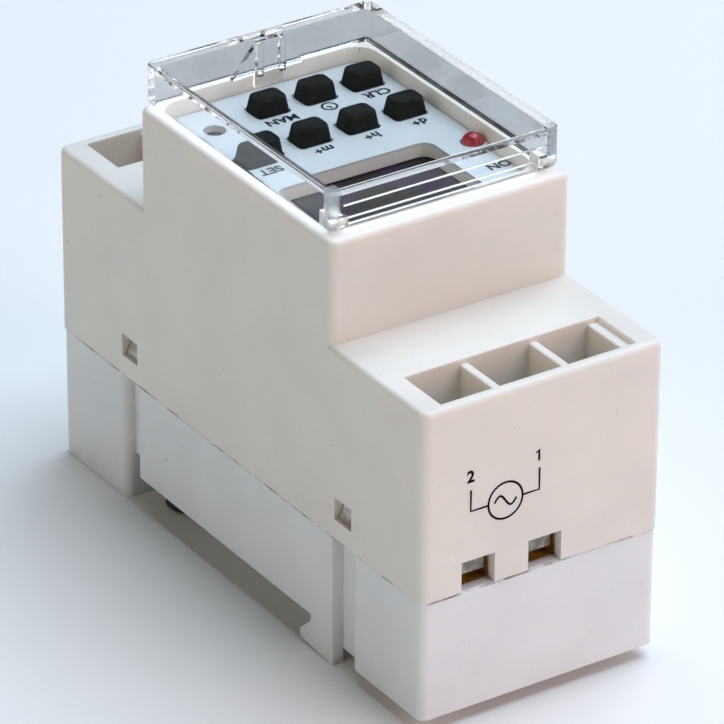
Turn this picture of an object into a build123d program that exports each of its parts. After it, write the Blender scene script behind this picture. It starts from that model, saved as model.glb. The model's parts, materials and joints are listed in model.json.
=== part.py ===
"""DIN rail timer, two modules wide, built as separate solids, one STEP file for each piece.

Frame: X is the width, Y runs along the length, Z points away from the wall. The origin is under
the middle of the case, at the lowest point of the back. The rail's centre line crosses it along X.
The supply terminals are at the -Y end and the relay's terminals at the +Y end. Millimetres.
"""
from build123d import *
import os

# ---- case ----
WIDTH = 36.0
LENGTH = 86.5
TOWER_LENGTH = 45.0
PARTING_Z = 19.0
SHOULDER_Z = 45.8
TOWER_Z = 60.2
WALL = 1.5
CASE_CORNER_R = 1.3
CASE_EDGE_R = 0.8
SINK = 1.0                     # how far one block reaches into the next one it is joined to
HALF_W = WIDTH / 2
HALF_L = LENGTH / 2
HALF_T = TOWER_LENGTH / 2

# ---- base ----
BASE_INSET = 0.15
BASE_TOP_CHAMFER = 0.25
BASE_WALL = 1.6
BASE_X = HALF_W - BASE_INSET
BASE_Y = HALF_L - BASE_INSET
NEAR_FOOT_Z = 2.0
RAIL_SEAT_Z = 5.0
MID_FLOOR = (6.6, 8.2)
NEAR_FLOOR_Z = 3.6
FAR_FLOOR_Z = 9.4
NEAR_GROOVE = (-27.2, -22.9)
FAR_GROOVE = (23.6, 27.3)
GROOVE_X = 16.2
GROOVE_INNER_X = 14.8
HOOK_THROAT_Y = -17.85
HOOK_TIP_Y = -15.4
HOOK_THROAT_Z = 4.0
HOOK_LIP = (0.5, 1.8)
HOOK_BACK_Y = -23.0

# ---- snap catches that hold the cover to the base ----
NEAR_WINDOW = (-27.35, -23.5)
FAR_WINDOW = (23.65, 27.5)
WINDOW_Z = (21.8, 25.0)
CATCH_GAP = 0.2
CATCH_TOP_Z = 24.5
CATCH_REACH = 1.1
TONGUE_X = (15.0, 16.2)

# ---- rail latch ----
LATCH_HEAD_X = 14.8
LATCH_HEAD_Y = (18.2, 24.0)
LATCH_LIP_X = 10.5
LATCH_LIP_Y = 15.4
LATCH_STEM_X = 10.0
LATCH_RIB_X = 8.4
LATCH_Z = (0.6, 3.5)
LATCH_STEP_Z = 1.4
LATCH_TAIL_Y = 42.9
LATCH_GAP = 0.3
LATCH_HEAD_R = 2.4
LATCH_BEVEL = (2.2, 4.6)
LEVER_SLOT_HALF = 2.6
LEVER_SLOT_Y = (39.5, 41.0)
LUG_Y = (29.6, 31.2)
LUG_TOP_Z = 7.2
SPRING_POCKET_X = 2.7
SPRING_POCKET_Y = 38.5
SPRING_POCKET_TOP = 8.0
SPRING_Z = 5.7
SPRING_COIL_R = 1.45
SPRING_WIRE_R = 0.28
SPRING_TURNS = 6

# ---- screw wells and terminals ----
TERMINAL_PITCH = 10.0
TERMINAL_X = [0.4 + TERMINAL_PITCH * step for step in (-1, 0, 1)]
WELL_Y = (33.6, 41.7)
WELL_BANK_Y = 32.4
WELL_X = [(-14.45, -6.15), (-4.95, 4.15), (5.35, 13.0)]
WELL_RIM_X = (-14.45, 14.55)
WELL_RIM_DROP = 0.8
WELL_EDGE_R = 0.25
WELL_FLOOR = (27.8, 29.2)
MOUTH_HALF = 2.5
MOUTH_TOP_Z = 23.3
BLOCK_HALF_X = 3.6
BLOCK_Y = (33.4, 41.4)
BLOCK_Z = (17.6, 27.4)
TUNNEL_HALF_X = 2.5
TUNNEL_Z = (19.0, 25.2)
TUNNEL_BACK_Y = 34.2
PLATE_HALF_X = 2.1
PLATE_Y = (34.4, 41.4)
PLATE_Z = (20.4, 21.4)
PLATE_LIP = 0.9
PLATE_LIP_TOP = 22.6
PLATE_LIP_CHAMFER = 0.7
SCREW_Y = 37.7
SCREW_R = 1.5
SCREW_HEAD_R = 2.3
SCREW_HEAD_Z = (30.2, 32.2)
SCREW_SLOT = 0.7
SCREW_SLOT_DEPTH = 1.0
SCREW_HEAD_CHAMFER = 0.3
SCREW_TIP_CHAMFER = 0.4
THREAD_CLEARANCE = 0.06
HEAD_HOLE_R = 2.55

# ---- front panel, keys and display ----
RECESS_X = 15.5
RECESS_Y = (-18.3, 21.1)
RECESS_R = 3.0
LABEL_TOP_Z = 58.0
LABEL_T = 0.3
LABEL_GAP = 0.2
FRONT_WALL = (56.0, 57.7)
LCD_WINDOW_X = (-13.2, 9.4)
LCD_WINDOW_Y = (-17.2, -3.1)
LCD_WINDOW_R = 1.8
KEY_X = [-10.4, -3.15, 4.1, 11.35]
KEY_ROW_A = 5.25
KEY_ROW_B = 15.15
KEY_SIZE = (4.7, 3.7)
KEY_TOP_SIZE = (4.3, 3.3)
KEY_FOOT_R = 0.7
KEY_CROWN_R = 1.1
KEY_EDGE_R = 0.45
KEY_TOP_Z = 60.3
KEY_SIDE_Z = 58.3
KEY_HOLE_GAP = 0.2
KEY_FLANGE_Z = (55.0, 55.8)
KEY_FLANGE_EXTRA = 0.5
KEY_STEM_R = 1.5
KEY_STEM_Z = 53.5
RESET_AT = (-10.4, 15.15)
RESET_R = 1.25
RESET_HOLE_R = 1.5
RESET_TOP_Z = 57.3
LED_AT = (13.9, -6.4)
LED_R = 1.45
LED_TOP_Z = 59.3
LED_HOLE_R = 1.6
LED_RIM_R = 1.65
LED_RIM_Z = (53.2, 54.0)
LED_LEAD_X = (-0.6, 0.6)
LED_LEAD_R = 0.25
GLASS_X = (-14.4, 10.6)
GLASS_Y = (-18.4, -2.0)
GLASS_Z = (54.4, 55.8)
FRAME_EDGE = 0.7
FRAME_SHELF = 0.6
STRIP_END = 1.2
STRIP_EDGE = (0.8, 2.8)
DISPLAY_BOARD_X = 16.0
DISPLAY_BOARD_Y = 20.5
DISPLAY_BOARD_Z = (50.6, 52.2)
DOME_R = 2.2
DOME_T = 0.45
DOME_EDGE_R = 0.3
MAT_Z = (53.2, 53.9)
MAT_CLEARANCE = 0.4
MAT_MARGIN = 3.2
PANEL_POSTS = [(-15.2, 0.6), (15.2, 0.6), (-15.2, 19.4), (15.2, 19.4), (15.2, -18.5)]
PANEL_POST_R = 1.0

# ---- clear lid ----
LID_X = 17.15
LID_Y = (-21.1, 22.4)
LID_Z = (60.4, 66.4)
LID_WALL = 1.3
LID_CORNER_R = 1.1
LID_INNER_CORNER_R = 0.6
LID_EDGE_R = 0.3
LID_HEEL_R = 1.05
HINGE_Y = -20.0
HINGE_Z = 61.6
HINGE_PIN_R = 0.45
HINGE_PIN_END_X = 16.7
HINGE_CLEARANCE = 0.06
HINGE_HOLE_GAP = 0.1
EAR_X = (14.65, 15.6)
EAR_R = 0.65
EAR_POST_Y = (-18.25, -17.4)
EAR_GAP = 0.1
EAR_NOTCH_X = 14.35
GRIP_LINES_Z = (62.3, 64.1)
GRIP_LINE = 0.16
POST_X = (-1.7, 2.5)
POST_Y = 19.6
POST_RIB = 0.8
TONGUE_BOTTOM_Z = 58.6
GUSSET_T = 0.7
GUSSET_TOP_Z = 64.4
GUSSET_FOOT = 3.4

# ---- circuit boards ----
MAIN_BOARD_X = 14.6
MAIN_BOARD_Y = 41.0
MAIN_BOARD_Z = (15.0, 16.6)
BOARD_POSTS_Y = (-33.0, 0.0, 33.0)
BOARD_POST_X = 12.6
BOARD_POST_R = 1.4
PIN_R = 0.5
PIN_HOLE_R = 0.6
PIN_X = (-2.6, 2.6)
PIN_Y = 38.6

# ---- electronics ----
BOARD_TOP_Z = MAIN_BOARD_Z[1]
COMPONENT_EDGE_R = 0.6
LEG_R = 0.4
CHIP_X = (-6.0, 4.0)
CHIP_Y = (4.0, 14.0)
CHIP_Z = (49.0, 50.4)
CHIP_LEGS = 10
CHIP_LEG_PITCH = 0.9
CHIP_LEG_REACH = 0.8
CHIP_LEG_HALF = 0.2
CRYSTAL_X = (6.0, 12.0)
CRYSTAL_Y = 8.0
CRYSTAL_R = 1.0
LINK_BOARD_X = (-12.0, 10.0)
LINK_BOARD_Y = (-5.8, -4.8)
DROPPER_X = (1.6, 10.6)
DROPPER_Y = (-26.0, -8.0)
DROPPER_TOP_Z = 31.0
VARISTOR_X = (-11.8, -8.0)
VARISTOR_AT = (-24.0, 22.6)
VARISTOR_R = 4.6
VARISTOR_EDGE_R = 1.0
FUSE_X = (-7.0, 2.0)
FUSE_Y = -29.4
FUSE_Z = 19.0
FUSE_R = 2.0
DIODE_X = (-5.4, -0.4)
DIODE_Y = -10.0
DIODE_PITCH = 3.4
DIODE_COUNT = 4
DIODE_R = 1.3
CAN_X = 5.6
CAN_Y = (1.0, 10.4)
CAN_R = 4.0
CAN_TOP_Z = 28.6
CELL_AT = (6.4, 23.4)
CELL_R = 5.8
CELL_TOP_Z = 25.0

# ---- relay ----
RELAY_X = (-14.0, -1.0)
RELAY_Y = (-4.0, 24.4)
RELAY_FLOOR_Z = BOARD_TOP_Z + 1.4
RELAY_TOP_Z = 32.4
RELAY_WALL = 0.8
RELAY_PINS = [(-11.6, -2.6), (-3.4, -2.6), (-7.5, 5.6), (-11.6, 22.6), (-3.4, 22.6)]
COIL_AT = (-7.5, 15.0)
COIL_R = 4.2
COIL_FLANGE_R = 4.9
COIL_Z = (19.4, 28.0)
CORE_R = 1.3
CORE_HOLE_R = 1.4
CORE_TOP_Z = 28.9
YOKE_X = (-11.5, -3.5)
YOKE_Y = (8.4, 20.6)
YOKE_T = 1.0
YOKE_FOOT_TOP_Z = 19.3
YOKE_TOP_Z = 29.0
ARMATURE_Y = 8.9
ARMATURE_Z = 29.42
ARMATURE_PIVOT_R = 0.4
ARMATURE_PLATE_Z = (29.65, 30.45)
CONTACT_AT = (-7.5, -0.6)
CONTACT_R = 1.0
CONTACT_ARM_HALF = 1.5
CONTACT_ARM_Z = (29.9, 30.2)
MOVING_CONTACT_Z = (29.5, 30.6)
FIXED_CONTACT_Z = (28.8, 29.4)
OPEN_POST_X = (-12.9, -12.0)
OPEN_BRIDGE_Z = (31.35, 31.6)


def slab(xs, ys, zs):
    """A rectangular block between low and high coordinates."""
    size = [high - low for low, high in (xs, ys, zs)]
    centre = [(high + low) / 2 for low, high in (xs, ys, zs)]
    return Pos(*centre) * Box(*size)


def rounded(xs, ys, zs, radius):
    """A block whose four upright edges are rounded."""
    outline = RectangleRounded(xs[1] - xs[0], ys[1] - ys[0], radius)
    centre = ((xs[0] + xs[1]) / 2, (ys[0] + ys[1]) / 2, zs[0])
    return Pos(*centre) * extrude(outline, zs[1] - zs[0])


def upright(x, y, zs, radius):
    """A round bar along Z."""
    return Pos(x, y, (zs[0] + zs[1]) / 2) * Cylinder(radius, zs[1] - zs[0])


def crosswise(xs, y, z, radius):
    """A round bar along X."""
    return Pos((xs[0] + xs[1]) / 2, y, z) * Rot(0, 90, 0) * Cylinder(radius, xs[1] - xs[0])


def both(half):
    """The span from -half to +half."""
    return (-half, half)


def side(sign, span):
    """A span on the + or - side of the origin."""
    return tuple(sorted(sign * value for value in span))


def around(centre, half):
    """A span of plus and minus half about a centre."""
    return (centre - half, centre + half)


def prism_x(points, xs):
    """A solid whose outline in the YZ plane is swept along X."""
    face = make_face(Polyline([(0, y, z) for y, z in points], close=True))
    return Pos(xs[0], 0, 0) * extrude(face, xs[1] - xs[0], dir=(1, 0, 0))


def prism_y(points, ys):
    """A solid whose outline in the XZ plane is swept along Y."""
    face = make_face(Polyline([(x, 0, z) for x, z in points], close=True))
    return Pos(0, ys[0], 0) * extrude(face, ys[1] - ys[0], dir=(0, 1, 0))


def key_hole_positions():
    """The seven long keys: four in the row beside the display, three in the other."""
    return [(x, KEY_ROW_A) for x in KEY_X] + [(x, KEY_ROW_B) for x in KEY_X[1:]]


# ---------------------------------------------------------------- base
def rail_hook(sign):
    """One fixed hook, a plate in the plane of the case's side, that takes the rail's edge."""
    xs = side(sign, (BASE_X - BASE_WALL, BASE_X))
    outline = [
        (HOOK_THROAT_Y, RAIL_SEAT_Z + SINK),
        (HOOK_THROAT_Y, HOOK_THROAT_Z),
        (HOOK_TIP_Y, HOOK_LIP[1]),
        (HOOK_TIP_Y, HOOK_LIP[0]),
        (HOOK_BACK_Y, 0.0),
        (NEAR_GROOVE[1], RAIL_SEAT_Z + SINK),
    ]
    return prism_x(outline, xs)


def snap_tongue(sign, window):
    """An upright tongue with a wedge that clicks into a window of the cover."""
    ys = (window[0] + CATCH_GAP, window[1] - CATCH_GAP)
    tongue = slab(side(sign, TONGUE_X), ys, (PARTING_Z - SINK, WINDOW_Z[1]))
    root = sign * (TONGUE_X[1] - SINK)
    face = sign * TONGUE_X[1]
    wedge = [
        (root, WINDOW_Z[0] + CATCH_GAP),
        (face + sign * CATCH_REACH, WINDOW_Z[0] + CATCH_GAP),
        (face, CATCH_TOP_Z),
        (root, CATCH_TOP_Z),
    ]
    return tongue + prism_y(wedge, ys)


def latch_channel():
    """The stepped channel under the far foot, with the spring's pocket above it."""
    far_end = (FAR_GROOVE[1] - SINK, HALF_L + SINK)
    wide_z = (LATCH_STEP_Z - LATCH_GAP, LATCH_Z[1] + LATCH_GAP)
    wide = slab(both(LATCH_STEM_X + LATCH_GAP), far_end, wide_z)
    slot = slab(both(LATCH_RIB_X + LATCH_GAP), far_end, (-SINK, LATCH_STEP_Z))
    pocket_y = (FAR_GROOVE[1] - SINK, SPRING_POCKET_Y)
    pocket = slab(both(SPRING_POCKET_X), pocket_y, (LATCH_Z[1], SPRING_POCKET_TOP))
    return wide + slot + pocket


def base():
    near_foot = rounded(both(BASE_X), (-BASE_Y, NEAR_GROOVE[0]), (NEAR_FOOT_Z, PARTING_Z), CASE_CORNER_R)
    far_foot = rounded(both(BASE_X), (FAR_GROOVE[1], BASE_Y), (0.0, PARTING_Z), CASE_CORNER_R)
    middle = slab(both(BASE_X), (NEAR_GROOVE[1], FAR_GROOVE[0]), (RAIL_SEAT_Z, PARTING_Z))
    blocks = [near_foot, far_foot, middle]
    near_foot, far_foot, middle = [chamfer(b.edges().group_by(Axis.Z)[-1], BASE_TOP_CHAMFER) for b in blocks]
    near_core_y = (NEAR_GROOVE[0] - SINK, NEAR_GROOVE[1] + SINK)
    near_core = slab(both(GROOVE_X), near_core_y, (NEAR_FOOT_Z, PARTING_Z))
    far_core_y = (FAR_GROOVE[0] - SINK, FAR_GROOVE[1] + SINK)
    far_core = slab(both(GROOVE_X), far_core_y, (RAIL_SEAT_Z, PARTING_Z))
    body = near_foot + far_foot + middle + near_core + far_core

    inner_x = BASE_X - BASE_WALL
    inner_y = BASE_Y - BASE_WALL
    near_wall_y = NEAR_GROOVE[0] - BASE_WALL
    far_wall_y = FAR_GROOVE[1] + BASE_WALL
    near_cross_y = NEAR_GROOVE[1] + BASE_WALL
    top_z = PARTING_Z + SINK
    body -= slab(both(inner_x), (-inner_y, near_wall_y), (NEAR_FLOOR_Z, top_z))
    body -= slab(both(inner_x), (far_wall_y, inner_y), (FAR_FLOOR_Z, top_z))
    body -= slab(both(inner_x), (near_cross_y, FAR_GROOVE[0] - BASE_WALL), (MID_FLOOR[1], top_z))
    body -= slab(both(GROOVE_INNER_X), (near_wall_y - SINK, NEAR_GROOVE[1] - BASE_WALL), (NEAR_FLOOR_Z, top_z))
    body -= slab(both(GROOVE_INNER_X), (NEAR_GROOVE[0], far_wall_y + SINK), (FAR_FLOOR_Z, top_z))
    body -= slab(both(inner_x), (near_cross_y, FAR_GROOVE[1]), (RAIL_SEAT_Z - SINK, MID_FLOOR[0]))
    body -= latch_channel()

    for y in BOARD_POSTS_Y:
        for x in both(BOARD_POST_X):
            body += upright(x, y, (post_foot(y), MAIN_BOARD_Z[0]), BOARD_POST_R)
    for sign in (-1, 1):
        body += rail_hook(sign)
        body += snap_tongue(sign, NEAR_WINDOW)
        body += snap_tongue(sign, FAR_WINDOW)
    return body


def post_foot(y):
    """Where a board post starts, just inside the floor under it."""
    floors = {-1: NEAR_FLOOR_Z, 0: MID_FLOOR[1], 1: FAR_FLOOR_Z}
    end = (y > 0) - (y < 0)
    return floors[end] - BASE_WALL / 2


# ---------------------------------------------------------------- cover
def cover_shell():
    """The outside of the cover: a long low body with the tower on it."""
    low = rounded(both(HALF_W), both(HALF_L), (PARTING_Z, SHOULDER_Z), CASE_CORNER_R)
    low = fillet(low.edges().group_by(Axis.Z)[-1], CASE_EDGE_R)
    tower = rounded(both(HALF_W), both(HALF_T), (SHOULDER_Z - 2 * CASE_EDGE_R, TOWER_Z), CASE_CORNER_R)
    tower = fillet(tower.edges().group_by(Axis.Z)[-1], CASE_EDGE_R)
    return low + tower


def hinge_ear(sign):
    """A hooked ear just inside the lid: a post, an arm to the hinge's axis, and a pin out to the side."""
    xs = side(sign, EAR_X)
    top_z = HINGE_Z + EAR_R
    post = slab(xs, EAR_POST_Y, (TOWER_Z - SINK, top_z))
    arm = slab(xs, (HINGE_Y, EAR_POST_Y[1]), (HINGE_Z - EAR_R, top_z))
    tip = crosswise(xs, HINGE_Y, HINGE_Z, EAR_R)
    pin = crosswise(side(sign, (EAR_X[0], HINGE_PIN_END_X)), HINGE_Y, HINGE_Z, HINGE_PIN_R)
    return post + arm + tip + pin


def screw_wells(body, sign):
    """Cuts three screw wells and their shared rim into a shoulder, and rounds their upper edges."""
    well_y = side(sign, WELL_Y)
    rim_z = SHOULDER_Z - WELL_RIM_DROP
    body -= slab(WELL_RIM_X, well_y, (rim_z, SHOULDER_Z + SINK))
    for well_x in WELL_X:
        body -= slab(well_x, well_y, (WELL_FLOOR[1], SHOULDER_Z + SINK))
    edges = edges_between(body, WELL_RIM_X, well_y, SHOULDER_Z)
    edges += edges_between(body, (WELL_RIM_X[0], WELL_X[-1][1]), well_y, rim_z).filter_by(Axis.Y)
    return fillet(edges, WELL_EDGE_R)


def edges_between(body, xs, ys, z):
    """The edges of a body at one height that lie within a rectangle."""
    hair = WELL_EDGE_R / 2
    level = body.edges().filter_by_position(Axis.Z, z - hair, z + hair)
    strip = level.filter_by_position(Axis.Y, ys[0] - hair, ys[1] + hair)
    return strip.filter_by_position(Axis.X, xs[0] - hair, xs[1] + hair)


def terminal_positions():
    """Each wire terminal as (number, end, X). The -Y end has two of them and the +Y end three."""
    near = [(-1, x) for x in reversed(TERMINAL_X[:2])]
    far = [(1, x) for x in TERMINAL_X]
    return [(number, sign, x) for number, (sign, x) in enumerate(near + far, start=1)]


def cover():
    body = cover_shell()
    inner_x = HALF_W - WALL
    inner_y = HALF_L - WALL
    body -= slab(both(inner_x), both(WELL_BANK_Y), (PARTING_Z - SINK, SHOULDER_Z - WALL))
    body -= slab(both(inner_x), both(inner_y), (PARTING_Z - SINK, WELL_FLOOR[0]))
    body -= slab(both(inner_x), both(HALF_T - WALL), (SHOULDER_Z - 2 * WALL, FRONT_WALL[0]))

    for sign in (-1, 1):
        body = screw_wells(body, sign)
        for left, right in zip(TERMINAL_X, TERMINAL_X[1:]):
            rib_x = around((left + right) / 2, WALL / 2)
            body += slab(rib_x, side(sign, (WELL_Y[0], inner_y)), (PARTING_Z, WELL_FLOOR[0]))
        for window in (NEAR_WINDOW, FAR_WINDOW):
            body -= slab(side(sign, (inner_x - SINK, HALF_W + SINK)), window, WINDOW_Z)

    for _, sign, x in terminal_positions():
        mouth_y = side(sign, (inner_y - SINK / 2, HALF_L + SINK))
        body -= slab(around(x, MOUTH_HALF), mouth_y, (PARTING_Z - SINK, MOUTH_TOP_Z))
        body -= upright(x, sign * SCREW_Y, (WELL_FLOOR[0] - SINK, WELL_FLOOR[1] + SINK / 2), HEAD_HOLE_R)

    through = (FRONT_WALL[0] - SINK, FRONT_WALL[1] + SINK)
    body -= rounded(both(RECESS_X), RECESS_Y, (FRONT_WALL[1], TOWER_Z + SINK), RECESS_R)
    body -= front_openings(through)
    for x, y in PANEL_POSTS:
        body += upright(x, y, (DISPLAY_BOARD_Z[1], FRONT_WALL[0] + SINK / 2), PANEL_POST_R)
    for sign in (-1, 1):
        body += hinge_ear(sign)
    return body


def front_openings(zs):
    """Everything that is cut through both the front wall and the label."""
    cuts = rounded(LCD_WINDOW_X, LCD_WINDOW_Y, zs, LCD_WINDOW_R)
    half_x = KEY_SIZE[0] / 2 + KEY_HOLE_GAP
    half_y = KEY_SIZE[1] / 2 + KEY_HOLE_GAP
    for x, y in key_hole_positions():
        cuts += rounded(around(x, half_x), around(y, half_y), zs, KEY_FOOT_R)
    cuts += upright(*RESET_AT, zs, RESET_HOLE_R)
    cuts += upright(*LED_AT, zs, LED_HOLE_R)
    return cuts


def front_label():
    """The printed sheet at the bottom of the tower's recess."""
    ys = (RECESS_Y[0] + LABEL_GAP, RECESS_Y[1] - LABEL_GAP)
    bottom_z = LABEL_TOP_Z - LABEL_T
    sheet = rounded(both(RECESS_X - LABEL_GAP), ys, (bottom_z, LABEL_TOP_Z), RECESS_R - LABEL_GAP)
    return sheet - front_openings((bottom_z - SINK, LABEL_TOP_Z + SINK))


# ---------------------------------------------------------------- lid
def lid_post():
    """The ribbed post in the middle of the lid's far wall, with the tongue that enters the recess."""
    inner_y = LID_Y[1] - LID_WALL
    inner_z = LID_Z[1] - LID_WALL
    ribs_z = (LID_Z[0], inner_z + SINK)
    ribs_y = (POST_Y, inner_y + LID_WALL / 2)
    post = slab(POST_X, (inner_y - POST_RIB, inner_y + LID_WALL / 2), ribs_z)
    post += slab((POST_X[0], POST_X[0] + POST_RIB), ribs_y, ribs_z)
    post += slab((POST_X[1] - POST_RIB, POST_X[1]), ribs_y, ribs_z)
    post += slab(POST_X, (inner_y - POST_RIB, inner_y - LABEL_GAP), (TONGUE_BOTTOM_Z, LID_Z[0] + SINK))
    for edge, sign in ((POST_X[0], -1), (POST_X[1], 1)):
        gusset = [
            (edge - sign * POST_RIB / 2, LID_Z[0]),
            (edge + sign * GUSSET_FOOT, LID_Z[0]),
            (edge, GUSSET_TOP_Z),
            (edge - sign * POST_RIB / 2, GUSSET_TOP_Z),
        ]
        post += prism_y(gusset, (inner_y - GUSSET_T, inner_y + LID_WALL / 2))
    return post


def lid():
    """The clear lid, hinged beside the display."""
    body = rounded(both(LID_X), LID_Y, LID_Z, LID_CORNER_R)
    body = fillet(body.edges().group_by(Axis.Z)[-1], LID_EDGE_R)
    heel = body.edges().filter_by(Axis.X).sort_by(Axis.Z)[:2].sort_by(Axis.Y)[0]
    body = fillet(heel, LID_HEEL_R)
    inner_x = LID_X - LID_WALL
    inner_y = (LID_Y[0] + LID_WALL, LID_Y[1] - LID_WALL)
    body -= rounded(both(inner_x), inner_y, (LID_Z[0] - SINK, LID_Z[1] - LID_WALL), LID_INNER_CORNER_R)
    for z in GRIP_LINES_Z:
        groove = [(LID_Y[0] - SINK, z - GRIP_LINE - SINK), (LID_Y[0] + GRIP_LINE, z)]
        groove.append((LID_Y[0] - SINK, z + GRIP_LINE + SINK))
        body -= prism_x(groove, both(inner_x - LID_WALL / 2))
    for sign in (-1, 1):
        notch_x = side(sign, (EAR_NOTCH_X, inner_x))
        notch_y = (HINGE_Y - EAR_R - EAR_GAP, inner_y[0] + SINK)
        body -= slab(notch_x, notch_y, (LID_Z[0] - SINK, HINGE_Z + EAR_R + EAR_GAP))
        hole_x = side(sign, (inner_x - SINK, HINGE_PIN_END_X + HINGE_HOLE_GAP))
        body -= crosswise(hole_x, HINGE_Y, HINGE_Z, HINGE_PIN_R + HINGE_CLEARANCE)
    return body + lid_post()


# ---------------------------------------------------------------- rail latch
def rail_latch():
    """The sliding latch: a head whose lip grips the rail's far edge, and a stem out to the far end."""
    head = rounded(both(LATCH_HEAD_X), LATCH_HEAD_Y, LATCH_Z, LATCH_HEAD_R)
    lip = slab(both(LATCH_LIP_X), (LATCH_LIP_Y, LATCH_HEAD_Y[0] + SINK), LATCH_Z)
    stem_y = (LATCH_HEAD_Y[1] - SINK, LATCH_TAIL_Y)
    stem = slab(both(LATCH_STEM_X), stem_y, (LATCH_STEP_Z, LATCH_Z[1]))
    rib = slab(both(LATCH_RIB_X), stem_y, (LATCH_Z[0], LATCH_STEP_Z + SINK / 2))
    lug = slab(both(SPRING_POCKET_X - 2 * LATCH_GAP), LUG_Y, (LATCH_Z[1] - SINK, LUG_TOP_Z))
    lever_slot = slab(both(LEVER_SLOT_HALF), LEVER_SLOT_Y, (-SINK, LATCH_Z[1] + SINK))
    edge_y = LATCH_LIP_Y - SINK
    bevel_face = [(edge_y, LATCH_BEVEL[0]), (edge_y, LATCH_BEVEL[1]), (LATCH_LIP_Y + 2 * SINK, LATCH_BEVEL[1])]
    bevel = prism_x(bevel_face, both(LATCH_LIP_X + SINK))
    return head + lip + stem + rib + lug - lever_slot - bevel


def latch_spring():
    """The coil spring that pushes the latch towards the rail."""
    length = SPRING_POCKET_Y - LUG_Y[1] - 2 * SPRING_WIRE_R
    path = Helix(pitch=length / SPRING_TURNS, height=length, radius=SPRING_COIL_R)
    section = Plane(origin=path @ 0, z_dir=path % 0) * Circle(SPRING_WIRE_R)
    coil = sweep(section, path=path)
    return Pos(0, LUG_Y[1] + SPRING_WIRE_R, SPRING_Z) * Rot(-90, 0, 0) * coil


# ---------------------------------------------------------------- terminals
def terminal_block(sign, x):
    """A brass tunnel with a threaded roof and two legs soldered into the board."""
    body = slab(around(x, BLOCK_HALF_X), side(sign, BLOCK_Y), BLOCK_Z)
    tunnel_y = side(sign, (TUNNEL_BACK_Y, BLOCK_Y[1] + SINK))
    body -= slab(around(x, TUNNEL_HALF_X), tunnel_y, TUNNEL_Z)
    body -= upright(x, sign * SCREW_Y, (TUNNEL_Z[1] - SINK, BLOCK_Z[1] + SINK), SCREW_R + THREAD_CLEARANCE)
    for offset in PIN_X:
        body += upright(x + offset, sign * PIN_Y, (MAIN_BOARD_Z[0] - SINK, BLOCK_Z[0] + SINK / 2), PIN_R)
    return body


def clamp_plate(sign, x):
    """The zinc plate under the screw, with an upturned lip at the mouth."""
    ys = side(sign, PLATE_Y)
    plate = slab(around(x, PLATE_HALF_X), ys, PLATE_Z)
    lip_y = side(sign, (PLATE_Y[1] - PLATE_LIP, PLATE_Y[1]))
    lip = slab(around(x, PLATE_HALF_X), lip_y, (PLATE_Z[0], PLATE_LIP_TOP))
    lip = chamfer(lip.edges().group_by(Axis.Z)[-1].filter_by(Axis.Y), PLATE_LIP_CHAMFER)
    return plate + lip


def terminal_screw(sign, x):
    """A terminal screw with a slotted head, standing on its plate."""
    head = upright(x, sign * SCREW_Y, SCREW_HEAD_Z, SCREW_HEAD_R)
    head = chamfer(head.edges().group_by(Axis.Z)[-1], SCREW_HEAD_CHAMFER)
    shank = upright(x, sign * SCREW_Y, (PLATE_Z[1], SCREW_HEAD_Z[0] + SINK / 2), SCREW_R)
    shank = chamfer(shank.edges().group_by(Axis.Z)[0], SCREW_TIP_CHAMFER)
    slot_z = (SCREW_HEAD_Z[1] - SCREW_SLOT_DEPTH, SCREW_HEAD_Z[1] + SINK)
    slot = slab(around(x, SCREW_HEAD_R + SINK), around(sign * SCREW_Y, SCREW_SLOT / 2), slot_z)
    return head + shank - slot


# ---------------------------------------------------------------- keys and display
def key(x, y):
    """One rubber key: a tapered cap over the label, a flange under the wall and a stem."""
    cap_x = around(x, KEY_SIZE[0] / 2)
    cap_y = around(y, KEY_SIZE[1] / 2)
    cap_sides = rounded(cap_x, cap_y, (KEY_FLANGE_Z[0], KEY_SIDE_Z), KEY_FOOT_R)
    foot = Pos(x, y, KEY_SIDE_Z) * RectangleRounded(*KEY_SIZE, KEY_FOOT_R)
    crown = Pos(x, y, KEY_TOP_Z) * RectangleRounded(*KEY_TOP_SIZE, KEY_CROWN_R)
    cap = loft([foot, crown])
    cap = fillet(cap.edges().group_by(Axis.Z)[-1], KEY_EDGE_R)
    flange_x = around(x, KEY_SIZE[0] / 2 + KEY_FLANGE_EXTRA)
    flange_y = around(y, KEY_SIZE[1] / 2 + KEY_FLANGE_EXTRA)
    flange = rounded(flange_x, flange_y, KEY_FLANGE_Z, KEY_FOOT_R)
    stem = upright(x, y, (KEY_STEM_Z, KEY_FLANGE_Z[0] + SINK / 2), KEY_STEM_R)
    return cap_sides + cap + flange + stem


def reset_button():
    """The small round button, sunk below the label so that only a pen tip reaches it."""
    x, y = RESET_AT
    button = upright(x, y, (KEY_STEM_Z, RESET_TOP_Z), RESET_R)
    button = fillet(button.edges().group_by(Axis.Z)[-1], DOME_EDGE_R)
    return button + upright(x, y, KEY_FLANGE_Z, RESET_R + 2 * KEY_FLANGE_EXTRA)


def keypad_mat():
    """The silicone sheet that the stems pass through."""
    xs = (KEY_X[0] - MAT_MARGIN, KEY_X[-1] + MAT_MARGIN)
    ys = (KEY_ROW_A - MAT_MARGIN, KEY_ROW_B + MAT_MARGIN)
    sheet = rounded(xs, ys, MAT_Z, KEY_CROWN_R)
    through = (MAT_Z[0] - SINK, MAT_Z[1] + SINK)
    for x, y in key_hole_positions() + [RESET_AT]:
        sheet -= upright(x, y, through, KEY_STEM_R + MAT_CLEARANCE)
    return sheet


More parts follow.
